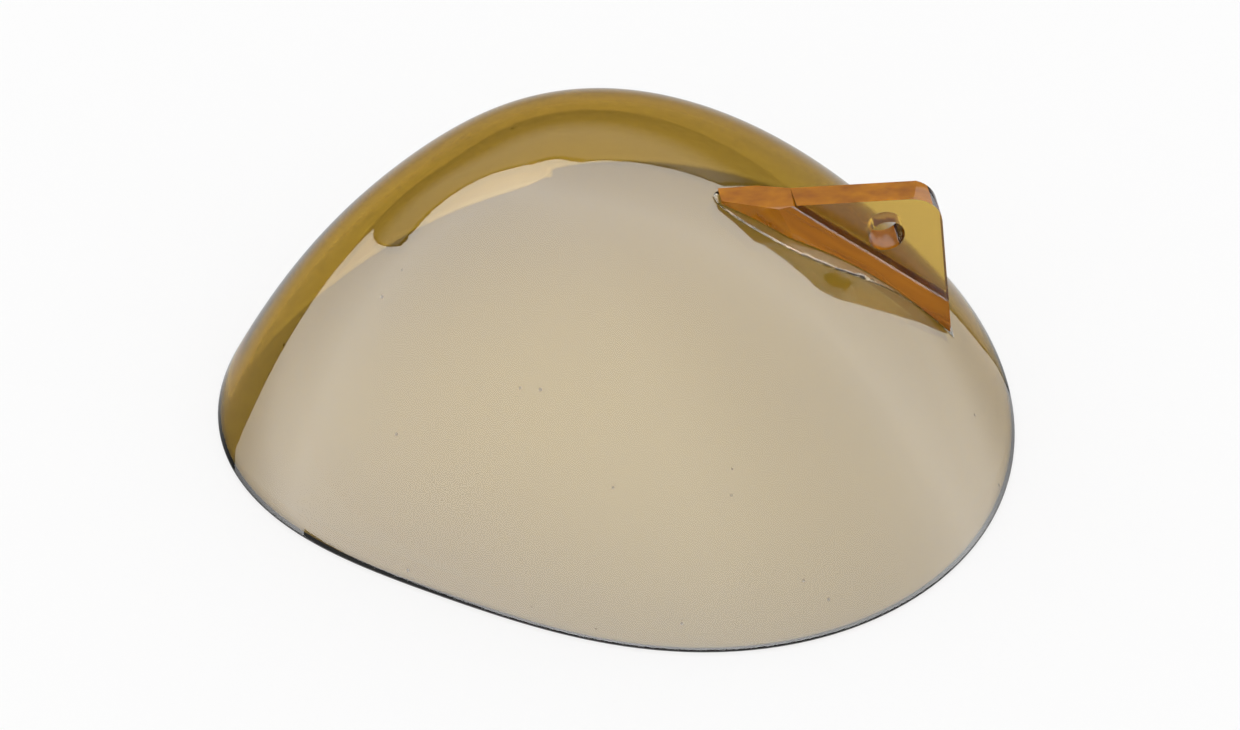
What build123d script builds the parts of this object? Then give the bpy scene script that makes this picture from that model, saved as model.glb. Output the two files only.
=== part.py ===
import math
import os

from build123d import *

os.makedirs("parts", exist_ok=True)

# Crown axis, set off so that the origin is the middle of the rim
crown_x = -2.129
crown_y = 0.089

# Rim outline, a mean radius about the crown axis with three slow waves
mean_radius = 12.72
wave_heights = [2.7, 0.67, 0.62]
wave_turns = [-0.4, -15.9, -53.6]
outline_points = 24

# Shell, a bowl turned over with its rim on the ground
crown_height = 10.28
crown_wall = 0.55
rim_wall = 0.55
rim_round_outer = 0.12
rim_round_inner = 0.25
fullness_share = 0.2
section_shares = [1.0, 0.9, 0.78, 0.64, 0.5, 0.36, 0.22, 0.1]

# Seat, a point of the dome that the places of handle and bed count from
seat_share = 0.703

# Cement bed between shell and handle, a thin layer that shows past the foot
bed_thickness = 0.08
bed_half_wide = 1.28
bed_half_narrow = 0.82
bed_start = -5.55
bed_wide_at = -3.0
bed_narrow_at = 0.3
bed_end = 2.45

# Handle plate, upright and parallel to the long axis, with each rise counted from the dome
plate_side = -1.39
plate_thickness = 1.0
plate_top_start_x = -2.95
plate_top_start_rise = 1.28
plate_top_end_x = 1.85
plate_top_end_rise = 5.22
plate_edge_end_x = 2.48
plate_edge_end_rise = -0.57
plate_low_start_x = -3.655
plate_low_start_rise = -1.44
plate_corner_round = 1.2
plate_top_tilt = 4

# Handle foot, a wedge that widens downward from a straight crease
crease_start_x = -3.24
crease_start_rise = 1.27
crease_end_x = 1.8
crease_end_rise = 1.06
foot_half_width = 0.75
foot_spread_depth = 0.7
foot_overrun = 3.2
foot_tip_x = -5.35
foot_tip_rise = 0.2
foot_tip_side = 0.38
foot_low_z = -4.157
foot_tip_half = 0.38
foot_full_x = -3.2
foot_end_x = 2.51

# Handle bore, straight through the plate
bore_radius = 0.6
bore_x = 0.103
bore_z = 1.842


def rim_radius(angle, inset):
    waves = 0.0
    for order, height in enumerate(wave_heights, start=1):
        waves += height * math.cos(order * (angle - math.radians(wave_turns[order - 1])))
    return mean_radius + waves - inset


def outline(inset, reach):
    points = []
    for i in range(outline_points):
        angle = 2 * math.pi * i / outline_points
        radius = reach * rim_radius(angle, inset)
        points.append((crown_x + radius * math.cos(angle), crown_y + radius * math.sin(angle)))
    return points


def section_height(height, reach):
    return height * (1 - (1 - fullness_share) * reach**2 - fullness_share * reach**4)


seat_x = crown_x + seat_share * rim_radius(0.0, 0.0)
seat_z = section_height(crown_height, seat_share)


def above_dome(along, rise):
    reach = (seat_x + along - crown_x) / rim_radius(0.0, 0.0)
    return (along, section_height(crown_height, reach) - seat_z + rise)


def dome_sections(height, inset):
    sections = []
    for reach in section_shares:
        with BuildSketch(Plane.XY.offset(section_height(height, reach))) as section:
            with BuildLine():
                Spline(outline(inset, reach), periodic=True)
            make_face()
        sections.append(section.sketch)
    return [*sections, Vertex(crown_x, crown_y, height)]


# Space under the outer surface
with BuildPart() as outer_form:
    loft(sections=dome_sections(crown_height, 0.0))

# Space under the inner surface
with BuildPart() as inner_form:
    loft(sections=dome_sections(crown_height - crown_wall, rim_wall))

# Domed shell with a rounded rim
with BuildPart() as scleral_shell:
    add(outer_form.part)
    add(inner_form.part, mode=Mode.SUBTRACT)
    rim_edges = scleral_shell.faces().filter_by(Plane.XY).sort_by(Axis.Z)[0].edges().sort_by(SortBy.LENGTH)
    fillet(rim_edges[-1], radius=rim_round_outer)
    land_edges = scleral_shell.faces().filter_by(Plane.XY).sort_by(Axis.Z)[0].edges().sort_by(SortBy.LENGTH)
    fillet(land_edges[0], radius=rim_round_inner)
scleral_shell.part.label = "scleral_shell"

# Dome surface raised by the cement
raised_form = outer_form.part.moved(Location((0, 0, bed_thickness)))

# Handle tab, foot first, then plate and bore
side_plane = Plane(origin=(seat_x, plate_side, seat_z), x_dir=(1, 0, 0), z_dir=(0, -1, 0))
crease_start = side_plane.from_local_coords(above_dome(crease_start_x, crease_start_rise))
crease_line = side_plane.from_local_coords(above_dome(crease_end_x, crease_end_rise)) - crease_start
crease_plane = Plane(origin=crease_start, x_dir=(0, 1, 0), z_dir=crease_line)
front_plane = side_plane.offset(plate_thickness / 2)
top_start = front_plane.from_local_coords(above_dome(plate_top_start_x, plate_top_start_rise))
top_line = front_plane.from_local_coords(above_dome(plate_top_end_x, plate_top_end_rise)) - top_start
level_plane = Plane(origin=top_start, x_dir=top_line, z_dir=side_plane.z_dir.cross(top_line))
top_plane = level_plane.rotated((-plate_top_tilt, 0, 0))
ground_plane = Plane(origin=(seat_x, plate_side, 0))
with BuildPart() as handle_tab:
    with BuildSketch(crease_plane.offset(-foot_overrun)):
        with BuildLine():
            Polyline(
                (-plate_thickness / 2, 0),
                (-foot_half_width, -foot_spread_depth),
                (-foot_half_width, -foot_overrun),
                (foot_half_width, -foot_overrun),
                (foot_half_width, -foot_spread_depth),
                (plate_thickness / 2, 0),
                close=True,
            )
        make_face()
    extrude(amount=crease_line.length + 2 * foot_overrun)
    with BuildSketch(side_plane):
        with BuildLine():
            Polyline(
                above_dome(foot_tip_x, foot_tip_rise),
                above_dome(plate_top_start_x, plate_top_start_rise),
                above_dome(plate_top_end_x, plate_top_end_rise),
                (plate_edge_end_x, foot_low_z),
                (foot_tip_x, foot_low_z),
                close=True,
            )
        make_face()
    extrude(amount=foot_half_width, both=True, mode=Mode.INTERSECT)
    with BuildSketch(ground_plane):
        with BuildLine():
            Polyline(
                (foot_tip_x, foot_tip_side - foot_tip_half),
                (foot_full_x, -foot_half_width),
                (foot_end_x, -foot_half_width),
                (foot_end_x, foot_half_width),
                (foot_full_x, foot_half_width),
                (foot_tip_x, foot_tip_side + foot_tip_half),
                close=True,
            )
        make_face()
    extrude(amount=2 * crown_height, mode=Mode.INTERSECT)
    with BuildSketch(side_plane) as plate_outline:
        with BuildLine():
            Polyline(
                above_dome(plate_low_start_x, plate_low_start_rise),
                above_dome(plate_top_start_x, plate_top_start_rise),
                above_dome(plate_top_end_x, plate_top_end_rise),
                above_dome(plate_edge_end_x, plate_edge_end_rise),
                close=True,
            )
        make_face()
        top_corner = above_dome(plate_top_end_x, plate_top_end_rise)
        fillet(plate_outline.vertices().sort_by_distance(top_corner)[0], radius=plate_corner_round)
    extrude(amount=plate_thickness / 2, both=True)
    split(bisect_by=top_plane, keep=Keep.BOTTOM)
    with BuildSketch(side_plane):
        with Locations((bore_x, bore_z)):
            Circle(bore_radius)
    extrude(amount=plate_thickness, both=True, mode=Mode.SUBTRACT)
    add(raised_form, mode=Mode.SUBTRACT)
handle_tab.part.label = "handle_tab"

# Cement bed, a rounded outline laid on the dome
with BuildPart() as cement_bed:
    with BuildSketch(ground_plane):
        with BuildLine():
            Spline(
                (bed_end, -bed_half_narrow),
                (bed_narrow_at, -bed_half_narrow),
                (bed_wide_at, -bed_half_wide),
                (bed_start, foot_tip_side),
                (bed_wide_at, bed_half_wide),
                (bed_narrow_at, bed_half_narrow),
                (bed_end, bed_half_narrow),
            )
            Line((bed_end, bed_half_narrow), (bed_end, -bed_half_narrow))
        make_face()
    extrude(amount=2 * crown_height)
    add(raised_form, mode=Mode.INTERSECT)
    add(outer_form.part, mode=Mode.SUBTRACT)
cement_bed.part.label = "cement_bed"

export_step(scleral_shell.part, "parts/scleral_shell.step")
export_step(handle_tab.part, "parts/handle_tab.step")
export_step(cement_bed.part, "parts/cement_bed.step")

for piece in (scleral_shell, handle_tab, cement_bed):
    box = piece.part.bounding_box()
    print(piece.part.label, "volume", round(piece.part.volume, 2), "from", box.min, "to", box.max)
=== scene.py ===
import math

import bmesh
import bpy
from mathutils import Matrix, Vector


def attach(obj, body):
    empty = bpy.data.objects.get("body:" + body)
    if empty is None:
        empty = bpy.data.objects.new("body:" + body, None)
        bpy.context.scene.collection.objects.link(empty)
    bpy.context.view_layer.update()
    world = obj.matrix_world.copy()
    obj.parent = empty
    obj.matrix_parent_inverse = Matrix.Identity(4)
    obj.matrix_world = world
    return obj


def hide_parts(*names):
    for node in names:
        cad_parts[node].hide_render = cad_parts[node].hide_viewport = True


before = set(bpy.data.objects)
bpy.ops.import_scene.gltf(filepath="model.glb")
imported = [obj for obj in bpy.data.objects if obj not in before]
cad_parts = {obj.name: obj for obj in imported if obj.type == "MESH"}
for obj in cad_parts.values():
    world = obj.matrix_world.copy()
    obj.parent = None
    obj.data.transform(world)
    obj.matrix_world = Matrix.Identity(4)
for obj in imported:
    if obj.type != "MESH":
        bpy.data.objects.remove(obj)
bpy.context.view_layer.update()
print("frame loaded")

# Values that all pieces share
millimetre = 0.001
crown = Vector((-2.129, 0.089, 0.0)) * millimetre


# Shader maths, where an operator makes the node that it names
class Socket:
    def __init__(self, graph, output):
        self.graph = graph
        self.output = output

    def math(self, operation, *others):
        return self.graph.add("ShaderNodeMath", {"operation": operation}, [self, *others])

    def clamped(self, low, high):
        return self.math("MAXIMUM", low).math("MINIMUM", high)

    def __add__(self, other):
        return self.math("ADD", other)

    def __radd__(self, other):
        return self.math("ADD", other)

    def __sub__(self, other):
        return self.math("SUBTRACT", other)

    def __rsub__(self, other):
        return self.graph.add("ShaderNodeMath", {"operation": "SUBTRACT"}, [other, self])

    def __mul__(self, other):
        return self.math("MULTIPLY", other)

    def __rmul__(self, other):
        return self.math("MULTIPLY", other)

    def __gt__(self, other):
        return self.math("GREATER_THAN", other)

    def __lt__(self, other):
        return self.math("LESS_THAN", other)


class Graph:
    def __init__(self, tree):
        self.tree = tree
        tree.nodes.clear()

    def add(self, kind, settings=None, inputs=None, output=0):
        node = self.tree.nodes.new(kind)
        for name, value in (settings or {}).items():
            if name == "stops":
                ramp = node.color_ramp
                while len(ramp.elements) < len(value):
                    ramp.elements.new(0.5)
                for element, (position, level) in zip(ramp.elements, value):
                    element.position = position
                    element.color = (level, level, level, 1.0)
            else:
                setattr(node, name, value)
        pairs = inputs.items() if isinstance(inputs, dict) else enumerate(inputs or [])
        for key, value in pairs:
            if isinstance(value, Socket):
                self.tree.links.new(value.output, node.inputs[key])
            else:
                node.inputs[key].default_value = value
        return Socket(self, node.outputs[output]) if node.outputs else None


def newMaterial(name):
    material = bpy.data.materials.new(name)
    material.use_nodes = True
    return material, Graph(material.node_tree)


# Clear amber plastic, tinted through its thickness, with the relief, marks and sawn faces of its piece. The
# mark is dust specks on the shell and film, and on the tab a deeper orange painted shade on the foot below
# the crease
def amberPlastic(name, look, relief, mark, sawn=None):
    material, graph = newMaterial(name)
    place = graph.add("ShaderNodeTexCoord", output=3)
    mottle = graph.add("ShaderNodeTexNoise", inputs={
        "Vector": place,
        "Scale": look["mottleScale"],
        "Detail": look["mottleDetail"],
    })
    height = mottle * look["mottleDepth"] + relief(graph, place)
    normal = graph.add("ShaderNodeBump", inputs={"Strength": 1.0, "Distance": millimetre, "Height": height})
    roughness = mottle * look["roughnessSpread"] + look["roughness"]
    # Mark colour: dust specks on the shell and film, and painted shade on the tab's foot
    colour = graph.add("ShaderNodeMix", {"data_type": "RGBA"},
                       {0: mark(graph, place), 6: look["surfaceColour"], 7: look["dustAndShadeColour"]}, output=2)
    surface = graph.add("ShaderNodeBsdfPrincipled", inputs={
        "Base Color": colour,
        "Roughness": roughness,
        "IOR": look["ior"],
        "Transmission Weight": 1.0,
        "Specular IOR Level": look["specularLevel"],
        "Normal": normal,
    })
    if sawn:
        grain, cover = sawn(graph, place)
        streaks = graph.add("ShaderNodeMix", {"data_type": "RGBA"},
                            {0: grain, 6: look["sawnDark"], 7: look["sawnBright"]}, output=2)
        matt = graph.add("ShaderNodeBsdfPrincipled", inputs={
            "Base Color": streaks,
            "Roughness": roughness + look["sawnRoughness"],
            "Specular IOR Level": look["specularLevel"],
            "Normal": normal,
        })
        surface = graph.add("ShaderNodeMixShader", inputs=[cover, surface, matt])
    volume = graph.add("ShaderNodeVolumeAbsorption", inputs={
        "Color": look["depthColour"],
        "Density": look["depthDensity"],
    })
    graph.add("ShaderNodeOutputMaterial", inputs={"Surface": surface, "Volume": volume})
    return material


def meshPiece(name, vertices, faces, material):
    mesh = bpy.data.meshes.new(name)
    mesh.from_pydata(vertices, [], faces)
    mesh.validate()
    mesh.shade_smooth()
    mesh.materials.append(material)
    piece = bpy.data.objects.new(name, mesh)
    bpy.context.scene.collection.objects.link(piece)
    return piece


# Domed shell, one closed skin from the crown, round the rim and back under the crown
shell = {
    "meanRadius": 12.72,
    "waveHeights": [2.7, 0.67, 0.62],
    "waveTurns": [-0.4, -15.9, -53.6],
    "crownHeight": 10.28,
    "crownWall": 0.55,
    "rimWall": 0.55,
    "rimRoundOuter": 0.12,
    "rimRoundInner": 0.25,
    "fullness": 0.2,
    "turns": 240,
    "rings": 48,
    "roundSteps": 6,
}
shellLook = {
    "surfaceColour": (1.0, 1.0, 1.0, 1.0),
    "depthColour": (0.83, 0.68, 0.0, 1.0),
    "depthDensity": 2600.0,
    "ior": 1.6,
    "specularLevel": 0.5,
    "roughness": 0.02,
    "roughnessSpread": 0.03,
    "mottleScale": 60.0,
    "mottleDetail": 4.0,
    "mottleDepth": 0.004,
    "fineScale": 2400.0,
    "fineDetail": 2.0,
    "fineDepth": 0.0001,
    "dustAndShadeColour": (0.2, 0.16, 0.12, 1.0),
    "speckScale": 600.0,
    "speckSize": 0.035,
}


def fineRelief(graph, place):
    fine = graph.add("ShaderNodeTexNoise", inputs={
        "Vector": place,
        "Scale": shellLook["fineScale"],
        "Detail": shellLook["fineDetail"],
    })
    return fine * shellLook["fineDepth"]


def dustSpecks(graph, place):
    toSpeck = graph.add("ShaderNodeTexVoronoi", inputs={"Vector": place, "Scale": shellLook["speckScale"]})
    return toSpeck < shellLook["speckSize"]


def rimRadius(angle, inset):
    waves = 0.0
    for order, height in enumerate(shell["waveHeights"], start=1):
        turn = math.radians(shell["waveTurns"][order - 1])
        waves += height * math.cos(order * (angle - turn))
    return shell["meanRadius"] + waves - inset


def domeHeight(reach, height):
    return height * (1 - (1 - shell["fullness"]) * reach ** 2 - shell["fullness"] * reach ** 4)


def rimSlope(radius, height):
    return math.atan2(height * (2 + 2 * shell["fullness"]), radius)


# Radius and height of the shell's section at one angle, from the outer crown to the inner crown
def shellSection(angle):
    outerRadius = rimRadius(angle, 0.0)
    innerRadius = rimRadius(angle, shell["rimWall"])
    outerHeight = shell["crownHeight"]
    innerHeight = outerHeight - shell["crownWall"]
    outerSlope = rimSlope(outerRadius, outerHeight)
    innerSlope = rimSlope(innerRadius, innerHeight)
    outerRun = shell["rimRoundOuter"] / math.tan(outerSlope / 2)
    innerRun = shell["rimRoundInner"] * math.tan(innerSlope / 2)
    outerEnd = 1 - outerRun * math.cos(outerSlope) / outerRadius
    innerEnd = 1 - innerRun * math.cos(innerSlope) / innerRadius
    section = []
    for i in range(1, shell["rings"] + 1):
        reach = outerEnd * i / shell["rings"]
        section.append((outerRadius * reach, domeHeight(reach, outerHeight)))
    for i in range(1, shell["roundSteps"] + 1):
        turn = math.pi / 2 - outerSlope - (math.pi - outerSlope) * i / shell["roundSteps"]
        section.append((outerRadius - outerRun + shell["rimRoundOuter"] * math.cos(turn),
                        shell["rimRoundOuter"] * (1 + math.sin(turn))))
    for i in range(shell["roundSteps"] + 1):
        turn = -math.pi / 2 - innerSlope * i / shell["roundSteps"]
        section.append((innerRadius + innerRun + shell["rimRoundInner"] * math.cos(turn),
                        shell["rimRoundInner"] * (1 + math.sin(turn))))
    for i in range(1, shell["rings"]):
        reach = innerEnd * (1 - i / shell["rings"])
        section.append((innerRadius * reach, domeHeight(reach, innerHeight)))
    return section


def buildShell():
    vertices = [(crown.x, crown.y, shell["crownHeight"] * millimetre)]
    for turn in range(shell["turns"]):
        angle = 2 * math.pi * turn / shell["turns"]
        for radius, height in shellSection(angle):
            vertices.append((crown.x + radius * math.cos(angle) * millimetre,
                             crown.y + radius * math.sin(angle) * millimetre,
                             max(height, 0.0) * millimetre))
    vertices.append((crown.x, crown.y, (shell["crownHeight"] - shell["crownWall"]) * millimetre))
    perTurn = (len(vertices) - 2) // shell["turns"]
    faces = []
    for turn in range(shell["turns"]):
        here = 1 + turn * perTurn
        there = 1 + (turn + 1) % shell["turns"] * perTurn
        faces.append((0, here, there))
        for i in range(perTurn - 1):
            faces.append((here + i, here + i + 1, there + i + 1, there + i))
        faces.append((here + perTurn - 1, len(vertices) - 1, there + perTurn - 1))
    plastic = amberPlastic("amber_shell", shellLook, fineRelief, dustSpecks)
    piece = meshPiece("domed_shell", vertices, faces, plastic)
    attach(piece, "root")
    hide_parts("scleral_shell")
    return piece


buildShell()
print("shell built")

# Grip tab, the CAD solid with its free edges eased and its underside settled over the dome
tab = {
    "weld": 0.001,
    "edgeEase": 0.06,
    "edgeSteps": 3,
    "flatAngle": 1.0,
    "sharpAngle": 24.0,
    "bedThickness": 0.08,
    "settleReach": 0.04,
    "creaseStart": (5.46, 9.43),
    "creaseEnd": (10.5, 4.88),
}
tabLook = dict(
    shellLook,
    specularLevel=0.12,
    roughness=0.05,
    mottleScale=300.0,
    # Foot below the crease tinted deeper orange: painted shade
    dustAndShadeColour=(0.95, 0.6, 0.15, 1.0),
    sawnRoughness=0.4,
    sawnDark=(0.2, 0.04, 0.0, 1.0),
    sawnBright=(0.72, 0.28, 0.0, 1.0),
)
grainLook = {
    "scale": 2500.0,
    "detail": 3.0,
    "stretch": 0.06,
    "depth": 0.012,
    "edge": 0.1,
    "topFacing": 0.7,
    "topCover": 0.68,
    "footCover": 0.55,
}


def nodeObject(node):
    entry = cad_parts[node]
    return entry["object"] if isinstance(entry, dict) else entry


def creaseSlope():
    startX, startZ = tab["creaseStart"]
    endX, endZ = tab["creaseEnd"]
    return (endZ - startZ) / (endX - startX)


# Mask of the foot below the crease. It carries the milling grain, the sawn cover and the deeper orange tint
# that is painted shade
def belowCrease(graph, place):
    startX, startZ = tab["creaseStart"]
    across = graph.add("ShaderNodeSeparateXYZ", inputs=[place], output=0)
    height = graph.add("ShaderNodeSeparateXYZ", inputs=[place], output=2)
    crease = across * creaseSlope() + (startZ - creaseSlope() * startX) * millimetre
    return ((crease - height) * (1 / (grainLook["edge"] * millimetre))).clamped(0.0, 1.0)


# Milling lines that run along the crease
def millingGrain(graph, place):
    turned = graph.add("ShaderNodeMapping", {"vector_type": "TEXTURE"}, {
        "Vector": place,
        "Rotation": (0.0, -math.atan(creaseSlope()), 0.0),
        "Scale": (1 / grainLook["stretch"], 1.0, 1.0),
    })
    return graph.add("ShaderNodeTexNoise", inputs={
        "Vector": turned,
        "Scale": grainLook["scale"],
        "Detail": grainLook["detail"],
    })


def tabRelief(graph, place):
    return millingGrain(graph, place) * grainLook["depth"] * belowCrease(graph, place)


# Sawn faces: the top all along, and the foot in part
def sawnFaces(graph, place):
    upward = graph.add("ShaderNodeTexCoord", output=1)
    isTop = graph.add("ShaderNodeSeparateXYZ", inputs=[upward], output=2) > grainLook["topFacing"]
    footCover = belowCrease(graph, place) * grainLook["footCover"]
    cover = (isTop * grainLook["topCover"]).math("MAXIMUM", footCover)
    return millingGrain(graph, place), cover


def domeOver(x, y):
    angle = math.atan2(y - crown.y, x - crown.x)
    reach = math.hypot(x - crown.x, y - crown.y) / (rimRadius(angle, 0.0) * millimetre)
    return domeHeight(reach, shell["crownHeight"]) * millimetre


def overDome(point):
    return (point.co.z - domeOver(point.co.x, point.co.y)) / millimetre


def isSettled(face):
    return all(abs(overDome(point) - tab["bedThickness"]) < tab["settleReach"] for point in face.verts)


def dressedPiece(mesh, name, node, material):
    mesh.materials.clear()
    mesh.materials.append(material)
    piece = bpy.data.objects.new(name, mesh)
    bpy.context.scene.collection.objects.link(piece)
    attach(piece, "root")
    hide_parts(node)
    return piece


def buildTab():
    mesh = nodeObject("handle_tab").data.copy()
    mesh.name = "grip_tab"
    work = bmesh.new()
    work.from_mesh(mesh)
    bmesh.ops.remove_doubles(work, verts=work.verts, dist=tab["weld"] * millimetre)
    bmesh.ops.dissolve_limit(work, angle_limit=math.radians(tab["flatAngle"]), verts=work.verts,
                             edges=work.edges)
    sharp = [edge for edge in work.edges
             if len(edge.link_faces) == 2 and edge.calc_face_angle() > math.radians(tab["sharpAngle"])
             and not any(isSettled(face) for face in edge.link_faces)]
    bmesh.ops.bevel(work, geom=sharp, offset=tab["edgeEase"] * millimetre, segments=tab["edgeSteps"],
                    profile=0.5, affect="EDGES", clamp_overlap=True)
    for point in {point for face in work.faces if isSettled(face) for point in face.verts}:
        point.co.z = domeOver(point.co.x, point.co.y) + tab["bedThickness"] * millimetre
    work.to_mesh(mesh)
    work.free()
    # belowCrease as the mark paints shade on the foot as a deeper orange tint
    plastic = amberPlastic("amber_tab", tabLook, tabRelief, belowCrease, sawnFaces)
    return dressedPiece(mesh, "grip_tab", "handle_tab", plastic)


buildTab()
print("tab built")

# Cement bed, a thin film that follows the dome
film = {
    "cuts": 2,
    "lowLift": 0.006,
    "topLift": 0.05,
}
filmLook = dict(shellLook, specularLevel=0.2, roughness=0.08, mottleScale=900.0, mottleDepth=0.01)


def buildFilm():
    mesh = nodeObject("cement_bed").data.copy()
    mesh.name = "cement_film"
    work = bmesh.new()
    work.from_mesh(mesh)
    bmesh.ops.remove_doubles(work, verts=work.verts, dist=tab["weld"] * millimetre)
    bmesh.ops.subdivide_edges(work, edges=work.edges, cuts=film["cuts"], use_grid_fill=True)
    bmesh.ops.triangulate(work, faces=work.faces)
    for point in work.verts:
        lift = film["topLift"] if overDome(point) > tab["bedThickness"] / 2 else film["lowLift"]
        point.co.z = domeOver(point.co.x, point.co.y) + lift * millimetre
    work.to_mesh(mesh)
    work.free()
    mesh.shade_smooth()
    plastic = amberPlastic("cement", filmLook, fineRelief, dustSpecks)
    return dressedPiece(mesh, "cement_film", "cement_bed", plastic)


buildFilm()
print("film built")

# Camera at the photograph's place, from the fit of rim, crown and tab
camera = {
    "azimuth": -9.1,
    "elevation": 42.0,
    "distance": 250.0,
    "scale": 29.814,
    "frameWidth": 1240,
    "frameHeight": 730,
    "axisColumn": 548.79,
    "axisRow": 402.37,
}


def placeCamera():
    azimuth = math.radians(camera["azimuth"])
    elevation = math.radians(camera["elevation"])
    back = Vector((math.sin(azimuth) * math.cos(elevation), -math.cos(azimuth) * math.cos(elevation),
                   math.sin(elevation)))
    data = bpy.data.cameras.new("camera")
    data.sensor_fit = "HORIZONTAL"
    data.sensor_width = 36.0
    data.lens = camera["scale"] * camera["distance"] / camera["frameWidth"] * data.sensor_width
    data.shift_x = (camera["frameWidth"] / 2 - camera["axisColumn"]) / camera["frameWidth"]
    data.shift_y = (camera["axisRow"] - camera["frameHeight"] / 2) / camera["frameWidth"]
    data.clip_start = millimetre
    viewer = bpy.data.objects.new("camera", data)
    viewer.location = crown + back * camera["distance"] * millimetre
    viewer.rotation_euler = back.to_track_quat("Z", "Y").to_euler()
    bpy.context.scene.collection.objects.link(viewer)
    bpy.context.scene.camera = viewer


placeCamera()

# Floor and light: a white tent all round, open at the back, which mirrored rays see brightest
studio = {
    "floorReach": 600.0,
    "floorDrop": 0.01,
    "floorColour": (0.9, 0.9, 0.9, 1.0),
    "shadeColour": (0.5, 0.5, 0.5, 1.0),
    "floorGlow": 0.75,
    "floorRoughness": 0.8,
    "floorRoughSpread": 0.1,
    "floorSpecular": 0.2,
    "speckleScale": 900.0,
    "speckleDetail": 3.0,
    "plainLight": 1.0,
    "tentLight": 5.8,
    "tentFade": 4.6,
    "tentLean": 0.6,
    "rightFade": 0.8,
    "throughShare": 0.12,
    "floorLight": 0.86,
    "floorLevel": 0.4,
    "floorBlend": 3.3,
    "gapDark": 0.85,
    "gapStops": [(0.0, 0.7), (0.2, 0.55), (0.32, 0.14), (0.50, 0.06), (0.58, 0.06), (0.66, 0.6), (1.0, 0.6)],
    "gapBorder": 0.02,
    "gapRagged": 0.03,
    "gapRaggedScale": 40.0,
    "gapRaggedDetail": 3.0,
    "gapTop": 0.57,
    "gapTopLean": 0.07,
    "gapLeft": 0.63,
    "gapLeftLevel": 0.087,
    "gapLeftSpread": 2.0,
    "gapRight": 0.34,
    "gapRightLevel": 0.56,
    "gapRightSpread": 1.9,
    "gapRightMost": 0.75,
    "frontTop": -0.16,
    "frontStart": -0.15,
    "frontStops": [(0.0, 0.86), (0.2, 0.7), (0.28, 0.4), (1.0, 0.4)],
}


def floorPiece(name, vertices, faces, material):
    floor = meshPiece(name, vertices, faces, material)
    return floor


# The floor is in two parts that meet under the rim, and only the part under the dome shows in mirrored rays
def floorPaper(name, colour):
    material, graph = newMaterial(name)
    place = graph.add("ShaderNodeTexCoord", output=3)
    speckle = graph.add("ShaderNodeTexNoise", inputs={
        "Vector": place,
        "Scale": studio["speckleScale"],
        "Detail": studio["speckleDetail"],
    })
    paper = graph.add("ShaderNodeBsdfPrincipled", inputs={
        "Base Color": colour,
        "Roughness": speckle * studio["floorRoughSpread"] + studio["floorRoughness"],
        "Specular IOR Level": studio["floorSpecular"],
    })
    seen = graph.add("ShaderNodeEmission", inputs={"Color": (1.0, 1.0, 1.0, 1.0), "Strength": 1.0})
    isCamera = graph.add("ShaderNodeLightPath", output=0)
    mixed = graph.add("ShaderNodeMixShader", inputs=[isCamera * studio["floorGlow"], paper, seen])
    graph.add("ShaderNodeOutputMaterial", inputs={"Surface": mixed})
    return material


def buildFloor():
    level = -studio["floorDrop"] * millimetre
    inner = []
    outer = []
    for turn in range(shell["turns"]):
        angle = 2 * math.pi * turn / shell["turns"]
        along = Vector((math.cos(angle), math.sin(angle), 0.0))
        seam = crown + along * rimRadius(angle, shell["rimWall"] / 2) * millimetre
        inner.append((seam.x, seam.y, level))
        edge = along * studio["floorReach"] * millimetre
        outer.append((edge.x, edge.y, level))
    count = shell["turns"]
    shaded = floorPaper("shaded_paper", studio["shadeColour"])
    floorPiece("floor_under", inner, [tuple(range(count))], shaded)
    ring = [(i, count + i, count + (i + 1) % count, (i + 1) % count) for i in range(count)]
    pale = floorPaper("pale_paper", studio["floorColour"])
    around = floorPiece("floor_around", inner + outer, ring, pale)
    around.visible_glossy = False


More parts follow.
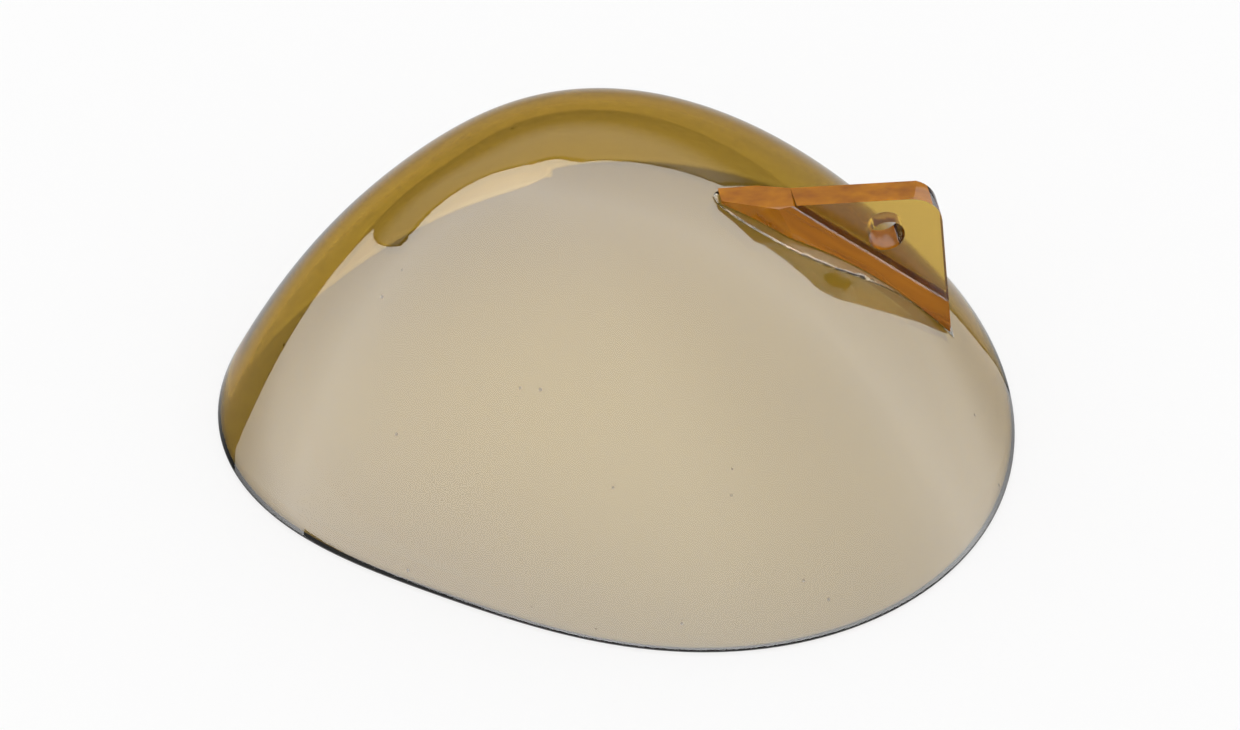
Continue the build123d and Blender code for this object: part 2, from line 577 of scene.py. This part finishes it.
def buildWorld():
    world = bpy.data.worlds.new("studio")
    world.use_nodes = True
    bpy.context.scene.world = world
    graph = Graph(world.node_tree)
    direction = graph.add("ShaderNodeTexCoord", output=0)
    across = graph.add("ShaderNodeSeparateXYZ", inputs=[direction], output=0)
    away = graph.add("ShaderNodeSeparateXYZ", inputs=[direction], output=1)
    height = graph.add("ShaderNodeSeparateXYZ", inputs=[direction], output=2)
    isTransmitted = graph.add("ShaderNodeLightPath", output=6)
    isMirrored = graph.add("ShaderNodeLightPath", output=3) * (1 - isTransmitted)
    isMirroredFirst = (graph.add("ShaderNodeLightPath", output=10) > 0.5) * isTransmitted
    ragged = graph.add("ShaderNodeTexNoise", inputs={
        "Vector": direction,
        "Scale": studio["gapRaggedScale"],
        "Detail": studio["gapRaggedDetail"],
    })
    ragged = ragged * studio["gapRagged"] - studio["gapRagged"] / 2
    overTop = away * studio["gapTop"] + across * studio["gapTopLean"] - height * away
    leftSpread = (height - studio["gapLeftLevel"]).math("ABSOLUTE") * studio["gapLeftSpread"]
    pastLeft = across + away * (studio["gapLeft"] + leftSpread)
    rightSpread = (studio["gapRightLevel"] - height) * studio["gapRightSpread"] + studio["gapRight"]
    pastRight = away * rightSpread.math("MINIMUM", studio["gapRightMost"]) - across
    inside = overTop.math("MINIMUM", pastLeft).math("MINIMUM", pastRight).math("MINIMUM", away) + ragged
    gapLevel = graph.add("ShaderNodeValToRGB", {"stops": studio["gapStops"]}, [height * 0.5 + 0.5])
    gapLevel = gapLevel * (inside > studio["gapBorder"])
    backward = (away - height * studio["tentLean"]).clamped(0.0, 1.0)
    tent = studio["tentLight"] - backward * studio["tentFade"]
    tent = tent - across.clamped(0.0, 1.0) * studio["rightFade"]
    shallow = ((height + studio["floorLevel"]) * studio["floorBlend"]).clamped(0.0, 1.0)
    tent = studio["floorLight"] + (tent - studio["floorLight"]) * shallow
    lowFront = graph.add("ShaderNodeValToRGB", {"stops": studio["frontStops"]}, [height * 0.5 + 0.5])
    isLowFront = (height < studio["frontTop"]) * (away < studio["frontStart"])
    tent = tent + isLowFront * (lowFront - tent)
    isGap = inside > 0.0
    mirrored = tent + isGap * (gapLevel - tent)
    share = isMirrored + isMirroredFirst * studio["throughShare"]
    strength = studio["plainLight"] + share * (mirrored - studio["plainLight"])
    strength = strength - isTransmitted * isGap * studio["gapDark"]
    light = graph.add("ShaderNodeBackground", inputs={"Color": (1.0, 1.0, 1.0, 1.0), "Strength": strength})
    graph.add("ShaderNodeOutputWorld", inputs={"Surface": light})


buildFloor()
buildWorld()
print("studio built")

view = bpy.context.scene.view_settings
view.view_transform = "Standard"
